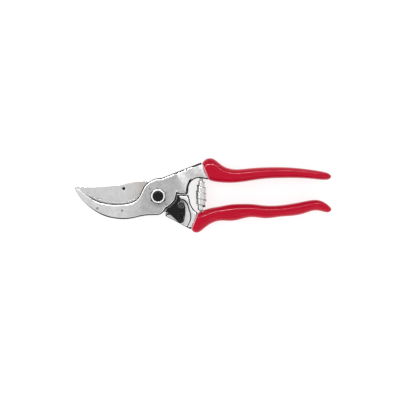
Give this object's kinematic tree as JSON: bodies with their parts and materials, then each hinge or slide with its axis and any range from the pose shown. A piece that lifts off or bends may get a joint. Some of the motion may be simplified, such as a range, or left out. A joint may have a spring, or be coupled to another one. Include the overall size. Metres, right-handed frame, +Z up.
{
  "type": "bypass pruner",
  "caption": "One-handed bypass pruner, shown closed and locked: forged metal handles with red moulded grips, curved blade over a hook, strip spring and a thumb catch.",
  "frame": {"origin": "on the axis of the pivot bolt, at the outer face of its toothed head, which is the face the closed pruner lies on", "axes": "+X from the blade's tip to the ends of the grips, +Y from the lower grip to the upper grip, +Z up along the pivot bolt, from its head to its nut"},
  "size_m": [0.2097, 0.0616, 0.022],
  "materials": {
    "forged_alloy": "satin forged and tumbled light alloy",
    "blade_steel": "finely ground hardened steel",
    "hook_steel": "finely ground hardened steel",
    "rivet_steel": "plain steel, slightly dull",
    "nut_steel": "bright zinc plate",
    "black_steel": "blackened steel",
    "segment_steel": "dull zinc plate",
    "spring_steel": "bright rolled spring strip",
    "black_catch": "blackened, slightly glossy",
    "screw_steel": "dark plated steel",
    "red_grip": "glossy soft plastic"
  },
  "bodies": {
    "blade_half": {"blade_handle": "forged_alloy", "cutting_blade": "blade_steel", "blade_dowel": "rivet_steel", "centre_bolt": "black_steel", "centre_nut": "nut_steel", "toothed_segment": "segment_steel", "segment_screw": "rivet_steel", "spring": "spring_steel", "spring_peg_lower": "rivet_steel", "catch_screw": "screw_steel", "catch_washer": "spring_steel", "lower_grip": "red_grip"},
    "hook_half": {"hook_handle": "forged_alloy", "counter_blade": "hook_steel", "hook_rivet_front": "rivet_steel", "hook_rivet_rear": "rivet_steel", "hub_rivet_upper": "rivet_steel", "hub_rivet_lower": "rivet_steel", "spring_peg_upper": "rivet_steel", "upper_grip": "red_grip"},
    "catch": {"thumb_catch": "black_catch"}
  },
  "joints": [
    {"name": "handle_pivot", "type": "hinge", "parent": "blade_half", "child": "hook_half", "pos_m": [0, 0, 0.0088], "axis": [0, 0, 1], "range_deg": [0, 34], "deforming": ["spring"]},
    {"name": "catch_pivot", "type": "hinge", "parent": "blade_half", "child": "catch", "pos_m": [0.0186, -0.007, 0.014], "axis": [0, 0, 1], "range_deg": [0, 21]}
  ],
  "couplings": [
    {"joint": "catch_pivot", "follows": "handle_pivot", "ratio": 0.6}
  ]
}
